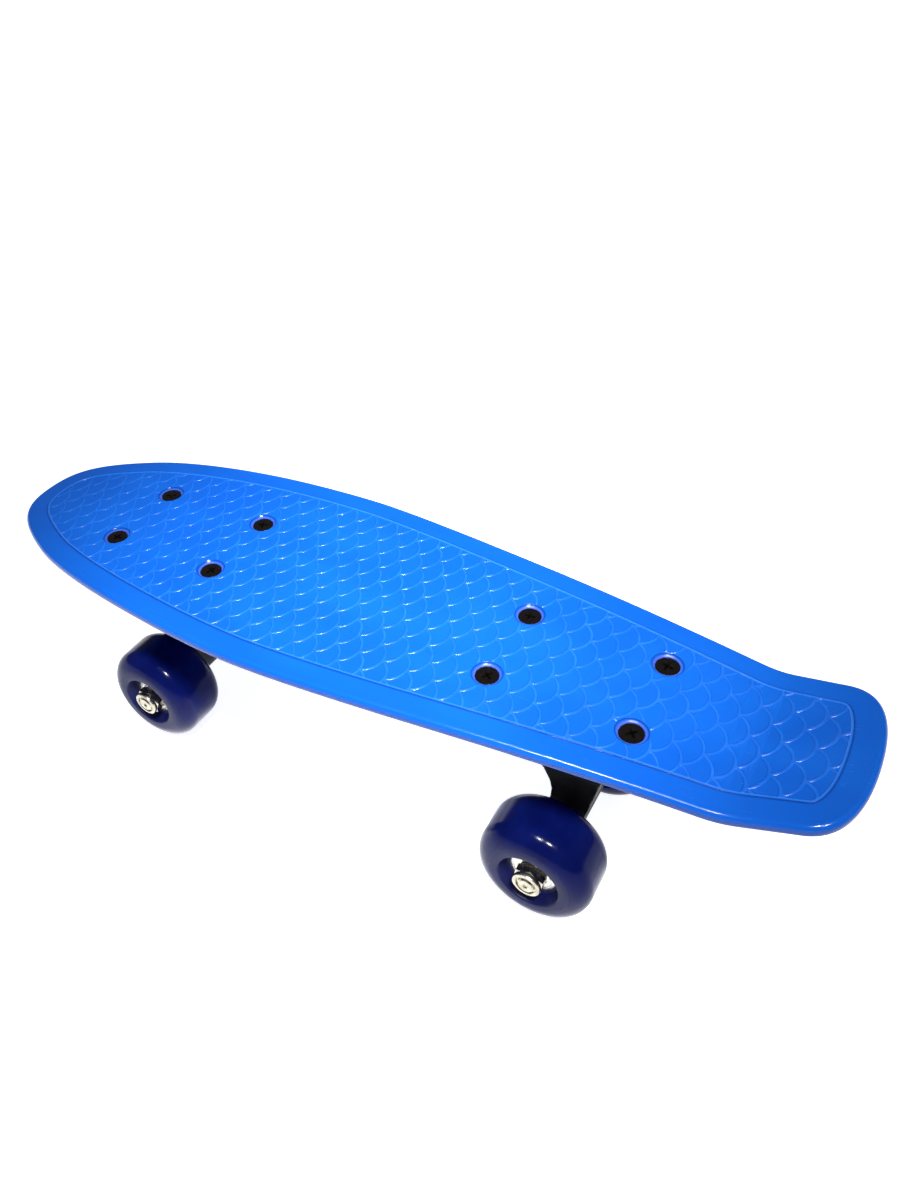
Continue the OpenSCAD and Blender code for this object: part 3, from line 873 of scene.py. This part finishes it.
MATERIALS = {
    "deck_plastic": deck_finish(),
    "wheel_urethane": wheel_finish(),
    "truck_plastic": truck_finish(),
    "black_steel": black_screw_finish(),
    "bushing_rubber": rubber_finish("bushing_rubber", (0.022, 0.022, 0.025), (0.012, 0.012, 0.014)),
    "cup_rubber": rubber_finish("cup_rubber", (0.035, 0.035, 0.038), (0.02, 0.02, 0.022)),
    "plated_nuts": steel_finish("plated_nuts", (0.56, 0.53, 0.44), (0.34, 0.31, 0.23), 0.22, 0.5),
    "zinc_steel": steel_finish("zinc_steel", (0.55, 0.53, 0.44), (0.36, 0.33, 0.25), 0.28, 0.6),
    "bearing_steel": steel_finish("bearing_steel", (0.66, 0.65, 0.6), (0.46, 0.44, 0.39), 0.2, 0.35),
}
SLOT_OF = {part["node"]: part["material_slot"] for part in frame["record"]["subparts"]}
BODY_OF = {node: body for body, nodes in frame["record"]["behaviour"]["bodies"].items() for node in nodes}


def shaped(node, part, angle=32, origin=None):
    """Adds the detailed piece that stands for a CAD node."""
    mesh = mesh_from(f"{node}_shaped", *part)
    shade_by_angle(mesh, angle)
    if origin is not None:
        origin = Matrix.Translation(origin.translation * MM) @ origin.to_3x3().to_4x4()
    slot = SLOT_OF[node]
    return add_piece(f"{node}_shaped", mesh, node, MATERIALS[slot], BODY_OF[node], origin)


# ---- frames of reference, in mm ----

RING_AT = (-6, -34)
KINGPIN_LEAN = math.radians(12)


def truck_frame(end):
    return Matrix.Translation((TRUCK_X[end], 0, PAD_Z)) @ Matrix.Diagonal((end, 1, 1, 1))


def kingpin_frame(end):
    ring = Matrix.Translation((RING_AT[0], 0, RING_AT[1]))
    return truck_frame(end) @ ring @ Matrix.Rotation(KINGPIN_LEAN, 4, "Y")


def steer_frame(end):
    """Origin at the pivot, +Z along the steering axis, outboard and up."""
    joint = next(j for j in frame["joints"] if j["name"] == f"{END_NAMES[end]}_steer")
    along = Vector(joint["axis"])
    turn = Vector((0, 0, 1)).rotation_difference(along).to_matrix().to_4x4()
    return Matrix.Translation(Vector(joint["pos_m"]) / MM) @ turn


def axle_frame(end, hand):
    """Origin in the board's middle plane, +Z outward along the axle."""
    at = middle_mm(f"{END_NAMES[end]}_axle")
    return Matrix.Translation((at.x, 0, at.z)) @ Matrix.Rotation(-hand * math.pi / 2, 4, "X")


# ---- the deck ----

def add_deck():
    points, faces, top_face_count, rim_range = build_deck()
    mesh = mesh_from("deck_shaped", points, faces)
    shade_by_angle(mesh, 34)
    corner_count = len(mesh.loops)
    normals = np.empty(corner_count * 3, np.float32)
    mesh.corner_normals.foreach_get("vector", normals)
    normals = normals.reshape(-1, 3)
    corner_points = np.empty(corner_count, np.int32)
    mesh.loops.foreach_get("vertex_index", corner_points)
    top_corners = 3 * top_face_count
    used = np.unique(corner_points[:top_corners])
    xy = points[used, :2]
    step = 0.02
    slope_x = (top_shape(xy + [step, 0]) - top_shape(xy - [step, 0])) / (2 * step)
    slope_y = (top_shape(xy + [0, step]) - top_shape(xy - [0, step])) / (2 * step)
    exact = np.zeros((len(points), 3))
    exact[used] = np.column_stack([-slope_x, -slope_y, np.ones(len(used))])
    exact[used] /= np.linalg.norm(exact[used], axis=1)[:, None]
    normals[:top_corners] = exact[corner_points[:top_corners]]
    mesh.normals_split_custom_set(normals.tolist())
    inset = edge_distance(xy)
    outer_foot = BORDER_W + FRAME_OUTER[0]
    from_screw = screw_distance(points[:, :2])
    in_seat = (from_screw < DISH_R - 0.1) & (points[:, 2] > PAD_Z + 2)
    shares = {name: np.zeros(len(points), np.float32) for name in ("raised", "painted_crest_highlight", "painted_shade", "seat")}
    # Painted highlight share of the scale lines, by their height; it also sets their scuffing.
    shares["raised"][used] = np.clip((points[used, 2] - top_z(points[used, 0])) / LINE_H, 0, 1)
    # Painted highlight share on the top of the frame line.
    shares["painted_crest_highlight"][used] = frame_height(inset) / LINE_H
    # Painted shade along the frame line's foot.
    shares["painted_shade"][used] = 0.85 * np.clip(1 - np.abs(inset - outer_foot) / CREASE_W, 0, 1)
    depth = top_z(points[:, 0]) - points[:, 2]
    on_rim = np.zeros(len(points), bool)
    on_rim[rim_range[0]:rim_range[1]] = True
    # Painted shade darkening the rim's lower wall with depth.
    shares["painted_shade"][on_rim] = RIM_SHADE * np.clip((depth[on_rim] - 1.4) / 1.6, 0, 1)
    # Painted shade round each screw seat's lip.
    shares["painted_shade"][in_seat] = np.clip((from_screw[in_seat] - DISH_R + 0.6) / 0.3, 0, 1)
    # Painted highlight share in each screw seat's dish, also used for its rougher finish.
    shares["seat"][in_seat] = np.clip((DISH_R - 0.5 - from_screw[in_seat]) / 0.4, 0, 1)
    for name, values in shares.items():
        mesh.attributes.new(name, "FLOAT", "POINT").data.foreach_set("value", values)
    return add_piece(
        "deck_shaped", mesh, "deck", MATERIALS["deck_plastic"], "board")


def cross_recess_cut(size, slot, depth):
    """A tapered cross, wider at its mouth, to cut out of a screw head."""
    half = size / 2
    outline = []
    for quarter in range(4):
        angle = quarter * math.pi / 2
        c, s = math.cos(angle), math.sin(angle)
        for x, y in ((half, -slot / 2), (half, slot / 2), (slot / 2 + 0.15, slot / 2 + 0.15)):
            outline.append((x * c - y * s, x * s + y * c))
    flat = np.array(outline)
    levels = ((0.45, -depth), (1.06, 0.3))
    rings = [np.column_stack([flat * share, np.full(len(flat), z)]) for share, z in levels]
    count = len(flat)
    points = np.concatenate(rings)
    faces = [(i, (i + 1) % count, count + (i + 1) % count, count + i) for i in range(count)]
    faces.append(tuple(range(count))[::-1])
    faces.append(tuple(range(count, 2 * count)))
    return points, faces


def carved(part, cutter):
    """One part with another cut out of it."""
    made = []
    for name, (points, faces) in (("solid", part), ("cutter", cutter)):
        made.append(add_object(name, mesh_from(name, points, faces)))
    cut = made[0].modifiers.new("cut", "BOOLEAN")
    cut.operation = "DIFFERENCE"
    cut.solver = "EXACT"
    cut.object = made[1]
    result = made[0].evaluated_get(bpy.context.evaluated_depsgraph_get()).to_mesh()
    points = np.array([v.co for v in result.vertices]) / MM
    faces = [tuple(p.vertices) for p in result.polygons]
    for obj in made:
        bpy.data.objects.remove(obj)
    return points, faces


def add_deck_screws():
    shank_r = 2.4
    nut_low = box_mm("deck_nuts")[0].z
    tail = nut_low - box_mm("deck_screws")[0].z
    parts = []
    for x, y in SCREWS:
        top = float(top_z(x)) - SCREW_SINK
        end = nut_low - tail - top
        profile = [(shank_r - 0.6, end), (shank_r, end + 0.5)]
        profile += thread(shank_r, 0.35, 0.8, end + 0.6, end + 6.2)
        profile += [(shank_r, end + 6.4), (shank_r, -COUNTERSINK_D), (SCREW_HEAD_R - 0.05, -HEAD_RIM_T)]
        profile += [(SCREW_HEAD_R, -0.3), (SCREW_HEAD_R, -0.2), (SCREW_HEAD_R - 0.12, -0.04)]
        profile += [(SCREW_HEAD_R - 0.5, 0.0), (2.9, 0.0)]
        screw = turned_rod(profile, 48)
        spin = Matrix.Rotation(math.radians(37 * len(parts)), 4, "Z")
        screw = carved(screw, cross_recess_cut(5.4, 1.05, 1.9))
        parts.append(placed(screw, Matrix.Translation((x, y, top)) @ spin))
    shaped("deck_screws", join_parts(parts), 40)


def add_deck_nuts():
    low, high = box_mm("deck_nuts")
    one = nut(8, 2.45, 0, high.z - low.z)
    parts = []
    for x, y in SCREWS:
        spin = Matrix.Rotation(math.radians(19 * len(parts)), 4, "Z")
        parts.append(placed(one, Matrix.Translation((x, y, low.z)) @ spin))
    shaped("deck_nuts", join_parts(parts))


# ---- trucks ----

MOULD_VOXEL = 0.55
MOULD_KEEP = 0.3


def add_moulding(node):
    """A moulded plastic part: the CAD solid with softened edges and blended corners."""
    slot = SLOT_OF[node]
    mesh = frame["nodes"][node].data.copy()
    mesh.name = f"{node}_shaped"
    piece = add_piece(f"{node}_shaped", mesh, node, MATERIALS[slot], BODY_OF[node])
    remesh = piece.modifiers.new("blend", "REMESH")
    remesh.mode = "VOXEL"
    remesh.voxel_size = MOULD_VOXEL * MM
    soften = piece.modifiers.new("soften", "SMOOTH")
    soften.factor = 0.5
    soften.iterations = 5
    thin = piece.modifiers.new("thin", "DECIMATE")
    thin.ratio = MOULD_KEEP
    result = bpy.data.meshes.new_from_object(piece.evaluated_get(bpy.context.evaluated_depsgraph_get()))
    piece.modifiers.clear()
    piece.data = result
    result.materials.clear()
    result.materials.append(MATERIALS[slot])
    shade_by_angle(result, 38)
    return piece


RING_T = 7
KINGPIN_R = 4
KINGPIN_FIT = 0.1
BUSHING_R = 10
UPPER_L, LOWER_L = 9, 8
CUP_T, CUP_RIM, CUP_R = 1.2, 1, 10.8
KINGPIN_NUT_AF, KINGPIN_NUT_T = 13, 6
KINGPIN_TOP, KINGPIN_TAIL = 33, 1.2
UPPER_SEAT = RING_T / 2 + UPPER_L + CUP_T
LOWER_SEAT = -(RING_T / 2 + LOWER_L + CUP_T)


def bushing_profile(z0, z1):
    """A urethane ring with a shallow waist and rounded corners."""
    bore = KINGPIN_R + KINGPIN_FIT
    corners = rounded_profile([
        (bore, z1, 0.3), (bore, z0, 0.3), (BUSHING_R, z0, 0.9), (BUSHING_R, z1, 0.9)])
    profile = [tuple(corner) for corner in corners]
    waist = [(BUSHING_R - 1.2 * math.sin(math.pi * t) ** 2, z0 + 0.9 + (z1 - z0 - 1.8) * t)
             for t in np.linspace(0, 1, 9)[1:-1]]
    split = next(i for i, (r, z) in enumerate(profile) if r > BUSHING_R - 0.02 and z > (z0 + z1) / 2)
    return profile[:split] + waist + profile[split:]


def cup_washer(z, up):
    """A dished steel washer whose rim holds the bushing's end."""
    inner = BUSHING_R + 0.05
    corners = [
        (KINGPIN_R + KINGPIN_FIT, CUP_T, 0.15), (KINGPIN_R + KINGPIN_FIT, 0, 0.15), (CUP_R, 0, 0.9),
        (CUP_R, CUP_T + CUP_RIM, 0.25), (inner, CUP_T + CUP_RIM, 0.2), (inner, CUP_T, 0.05)]
    part = turned(rounded_profile(corners), 80)
    return placed(part, Matrix.Translation((0, 0, z)) @ Matrix.Diagonal((1, 1, 1 if up else -1, 1)))


def add_truck(end):
    name = END_NAMES[end]
    pin = kingpin_frame(end)
    add_moulding(f"{name}_baseplate")
    add_moulding(f"{name}_hanger")
    head_low = KINGPIN_TOP - 5.5
    tail = LOWER_SEAT - KINGPIN_NUT_T - KINGPIN_TAIL
    rod = [(KINGPIN_R - 0.8, tail), (KINGPIN_R - 0.1, tail + 0.6)]
    rod += thread(KINGPIN_R, 0.45, 1.25, tail + 0.7, LOWER_SEAT)
    rod += [(KINGPIN_R, LOWER_SEAT + 0.3), (KINGPIN_R, head_low + 0.2)]
    kingpin = join_parts([turned_rod(rod), nut(KINGPIN_NUT_AF, KINGPIN_R - 0.6, head_low, head_low + 5)])
    shaped(f"{name}_kingpin", placed(kingpin, pin))
    flip = Matrix.Diagonal((1, 1, -1, 1))
    lock_nut = nut(KINGPIN_NUT_AF, KINGPIN_R + 0.05, 0, KINGPIN_NUT_T - 1.8, (6.2, KINGPIN_NUT_T))
    shaped(f"{name}_kingpin_nut", placed(lock_nut, pin @ Matrix.Translation((0, 0, LOWER_SEAT)) @ flip))
    washers = join_parts([cup_washer(UPPER_SEAT, False), cup_washer(LOWER_SEAT, True)])
    upper = turned(bushing_profile(RING_T / 2, RING_T / 2 + UPPER_L), 80)
    lower = turned(bushing_profile(-RING_T / 2 - LOWER_L, -RING_T / 2), 80)
    for label, part in (("cup_washers", washers), ("upper_bushing", upper), ("lower_bushing", lower)):
        shaped(f"{name}_{label}", placed(part, pin))
    stem_r, wall, mouth, cup_l, clear = 5.5, 2.4, 6.5, 11.5, 0.1
    cup = turned(rounded_profile([
        (0.6, 3, 0), (stem_r + clear, 0, 0.6), (stem_r + clear, -mouth, 0.5), (stem_r + wall, -mouth, 0.6),
        (stem_r + wall, cup_l - mouth, 0.5), (0.6, cup_l - mouth, 0)]), 80)
    shaped(f"{name}_pivot_cup", placed(cup, steer_frame(end)))
    add_axle(end)


def add_axle(end):
    name = END_NAMES[end]
    radius = 4
    tip = AXLE_END
    rod = []
    for hand in (LEFT, RIGHT):
        side = [(1.1, tip - 0.55), (1.5, tip - 0.1), (1.8, tip), (radius - 0.55, tip),
                (radius - 0.15, tip - 0.35)]
        side += [(r, -z) for r, z in thread(radius - 0.02, 0.3, 1.25, -(tip - 0.6), -(tip - 6.6))]
        side += [(radius, tip - 7), (radius, tip - 12)]
        if hand == LEFT:
            rod += [(r, -z) for r, z in side]
        else:
            rod += side[::-1]
    base = axle_frame(end, RIGHT)
    shaped(f"{name}_axle", placed(turned_rod(rod), base))
    seat = AXLE_SEAT
    nuts = []
    washers = []
    for hand in (LEFT, RIGHT):
        out = axle_frame(end, hand)
        spin = Matrix.Rotation(math.radians(NUT_TURN[(end, hand)]), 4, "Z")
        one = nut(13, radius + 0.03, seat + WASHER_T, NUT_END - 2, (6.6, NUT_END))
        nuts.append(placed(one, out @ spin))
        for z in (INNER_SEAT - WASHER_T, seat):
            ring = turned(rounded_profile([
                (radius + 0.03, z + WASHER_T, 0.1), (radius + 0.03, z, 0.1),
                (6.2, z, 0.2), (6.2, z + WASHER_T, 0.2)]), 64)
            washers.append(placed(ring, out))
    shaped(f"{name}_axle_nuts", join_parts(nuts))
    shaped(f"{name}_axle_washers", join_parts(washers))


# ---- wheels and bearings ----

BEARING_R, BEARING_W, BEARING_GAP = 11, 7, 7.4
WASHER_T = 0.8
RECESS = 5.5
AXLE_SEAT = WHEEL_FACE - RECESS
INNER_SEAT = AXLE_SEAT - 2 * BEARING_W - BEARING_GAP
LIP_R, LIP_FLOOR_R = 14.4, 12.2
EDGE_RADIAL, EDGE_AXIAL = 10, 9
NUT_TURN = {(FRONT, LEFT): 12, (FRONT, RIGHT): 40, (REAR, LEFT): 22, (REAR, RIGHT): 3}


def shoulder(z0, direction):
    """The wheel's broad rounded shoulder, a quarter ellipse from the tread to the side face."""
    steps = 22
    return [(WHEEL_R - EDGE_RADIAL + EDGE_RADIAL * math.cos(a), z0 + direction * EDGE_AXIAL * math.sin(a))
            for a in np.linspace(0, math.pi / 2, steps)]


def wheel_part():
    inner_face = WHEEL_FACE - WHEEL_W
    hub_r = 8
    core = rounded_profile([
        (hub_r, AXLE_SEAT - BEARING_W, 0), (hub_r, INNER_SEAT + BEARING_W, 0),
        (BEARING_R, INNER_SEAT + BEARING_W, 0), (BEARING_R, INNER_SEAT, 0.2),
        (LIP_FLOOR_R, INNER_SEAT, 0.3), (LIP_R, inner_face, 0.9)])
    inner = shoulder(inner_face + EDGE_AXIAL, -1)[::-1]
    outer = shoulder(WHEEL_FACE - EDGE_AXIAL, 1)
    rest = rounded_profile([
        (LIP_R + 2, WHEEL_FACE, 0), (LIP_R, WHEEL_FACE, 0.9), (LIP_FLOOR_R, AXLE_SEAT, 0.3),
        (BEARING_R, AXLE_SEAT, 0.2), (BEARING_R, AXLE_SEAT - BEARING_W, 0),
        (hub_r, AXLE_SEAT - BEARING_W, 0)])
    return turned([tuple(p) for p in core] + inner + outer + [tuple(p) for p in rest[1:-1]], 160)


def bearing_parts(seat):
    """Outer ring, inner ring and the two pressed shields of one bearing that starts at a height."""
    chamfer = 0.35
    top = seat + BEARING_W
    rim = BEARING_R - 0.02
    outer = turned(rounded_profile([
        (9.1, top, 0.15), (9.1, seat, 0.15), (rim, seat, chamfer), (rim, top, chamfer)]))
    inner = turned(rounded_profile([
        (4.02, top, chamfer), (4.02, seat, chamfer), (5.9, seat, 0.15), (5.9, top, 0.15)]))
    shields = []
    for face, sign in ((seat, 1), (top, -1)):
        corners = [
            (6.3, 0.35), (6.3, 0.6), (6.9, 0.75), (8.2, 0.75), (8.5, 0.6), (9.1, 0.6),
            (9.1, 0.3), (8.4, 0.3), (8.1, 0.45), (7.0, 0.45), (6.7, 0.35)]
        profile = [(r, face + sign * z) for r, z in corners]
        if sign > 0:
            profile = profile[::-1]
        shields.append(turned(profile))
    return outer, inner, join_parts(shields)


def add_wheel(end, hand):
    name = f"{END_NAMES[end]}_{HAND_NAMES[hand]}"
    out = axle_frame(end, hand)
    shaped(f"{name}_wheel", placed(wheel_part(), out), 40, out)
    bearings = [bearing_parts(seat) for seat in (INNER_SEAT, AXLE_SEAT - BEARING_W)]
    for label, parts in zip(("outer_rings", "inner_rings", "shields"), zip(*bearings)):
        shaped(f"{name}_{label}", placed(join_parts(parts), out), 40, out)


add_deck()
add_deck_screws()
add_deck_nuts()
for end in (FRONT, REAR):
    add_truck(end)
    for hand in (LEFT, RIGHT):
        add_wheel(end, hand)

for node, obj in frame["nodes"].items():
    if not obj.hide_render:
        obj.data.materials.clear()
        obj.data.materials.append(MATERIALS[SLOT_OF[node]])


# ---- floor, light and camera ----

FLOOR_HALF = 10000
FLOOR_GLOW = 0.86
ROOM_LIGHT = 0.13
BACKDROP_LIGHT = 1.03
KEY_AT = (0.5, -0.5, 1.5)
KEY_AIM = (0.01, 0, DECK_TOP * MM)
RIM_LAMP_AT = (0.08, -0.5, 1.5)
RIM_AIM = (0.15, -0.045, DECK_TOP * MM)
SUN_SPREAD = 60
SOFT_SUNS = (
    ("behind", (-0.1, 0.45, 0.85), 0.5),
    ("over_camera", (0.35, -0.5, 0.6), 0.25),
    ("nose_side", (-0.8, -0.3, 0.5), 0.4),
    ("tail_side", (0.8, 0.2, 0.5), 0.4),
)


def choose_shader(tree, share, first, second, output):
    """Shows the second shader where the share is 1 and the first where it is 0."""
    choose = tree.nodes.new("ShaderNodeMixShader")
    for source, target in zip((share, first, second), choose.inputs):
        tree.links.new(source, target)
    tree.links.new(choose.outputs[0], tree.nodes[output].inputs["Surface"])


def add_floor():
    """Pale paper that glows softly, and is clear from below so that the underside can be looked at."""
    corners = [(x * FLOOR_HALF, y * FLOOR_HALF, 0) for x, y in ((-1, -1), (1, -1), (1, 1), (-1, 1))]
    mesh = mesh_from("floor", corners, [(0, 1, 2, 3)])
    floor = add_object("floor", mesh)
    f = Finish("floor_paper", (0.93, 0.93, 0.93), 0.6, specular=0.2)
    f.paint(f.mix(f.noise(300, 2), (0.92, 0.92, 0.92), (0.94, 0.94, 0.94)))
    f.shader.inputs["Emission Color"].default_value = (1, 1, 1, 1)
    f.shader.inputs["Emission Strength"].default_value = FLOOR_GLOW
    below = f.add("ShaderNodeNewGeometry").outputs["Backfacing"]
    clear = f.add("ShaderNodeBsdfTransparent").outputs[0]
    choose_shader(f.tree, below, f.shader.outputs[0], clear, "Material Output")
    mesh.materials.append(f.material)


def add_lamp(name, data, place, aim=(0, 0, 0)):
    lamp = add_object(name, data)
    lamp.location = place
    lamp.rotation_euler = (Vector(aim) - Vector(place)).to_track_quat("-Z", "Y").to_euler()
    return lamp


def add_soft_sun(name, place, strength):
    """A very wide soft light from one direction. It brightens surfaces but leaves no glare on them."""
    data = bpy.data.lights.new(name, "SUN")
    data.energy = strength
    data.angle = math.radians(SUN_SPREAD)
    add_lamp(name, data, place).visible_glossy = False


def add_spot(name, place, aim, power, spread, radius):
    data = bpy.data.lights.new(name, "SPOT")
    data.energy = power
    data.shadow_soft_size = radius
    data.spot_size = math.radians(spread)
    data.spot_blend = 1.0
    return add_lamp(name, data, place, aim)


def add_lights():
    """A dim room light behind a pale backdrop, wide soft suns and two spots."""
    world = bpy.data.worlds.new("studio")
    bpy.context.scene.world = world
    world.use_nodes = True
    tree = world.node_tree
    dim = tree.nodes["Background"]
    backdrop = tree.nodes.new("ShaderNodeBackground")
    for node, strength in ((dim, ROOM_LIGHT), (backdrop, BACKDROP_LIGHT)):
        node.inputs["Color"].default_value = (0.98, 0.99, 1.0, 1)
        node.inputs["Strength"].default_value = strength
    seen = tree.nodes.new("ShaderNodeLightPath").outputs["Is Camera Ray"]
    choose_shader(tree, seen, dim.outputs[0], backdrop.outputs[0], "World Output")
    for name, place, strength in SOFT_SUNS:
        add_soft_sun(name, place, strength)
    # A soft pool of light on the middle of the deck, and a sheen along the near rim by the tail
    add_spot("key", KEY_AT, KEY_AIM, 262, 16.5, 0.11)
    add_spot("rim_sheen", RIM_LAMP_AT, RIM_AIM, 320, 10, 0.16).visible_diffuse = False


CAMERA_AT = (0.2072, -0.2786, 0.4061)
CAMERA_RIGHT = (0.854, 0.517, -0.0584)
CAMERA_FORWARD = (-0.4434, 0.6644, -0.6017)
CAMERA_SHIFT = (0.0359, -0.0595)
SENSOR_MM, LENS_MM = 36, 29.51


def add_camera():
    data = bpy.data.cameras.new("camera")
    data.sensor_width = SENSOR_MM
    data.lens = LENS_MM
    data.shift_x, data.shift_y = CAMERA_SHIFT
    data.clip_start = 0.01
    camera = add_object("camera", data)
    forward = Vector(CAMERA_FORWARD).normalized()
    up = Vector(CAMERA_RIGHT).normalized().cross(forward)
    right = forward.cross(up)
    turn = Matrix((right, up, -forward)).transposed().to_4x4()
    camera.matrix_world = Matrix.Translation(CAMERA_AT) @ turn
    bpy.context.scene.camera = camera


add_floor()
add_lights()
add_camera()
bpy.context.scene.view_settings.view_transform = "Standard"
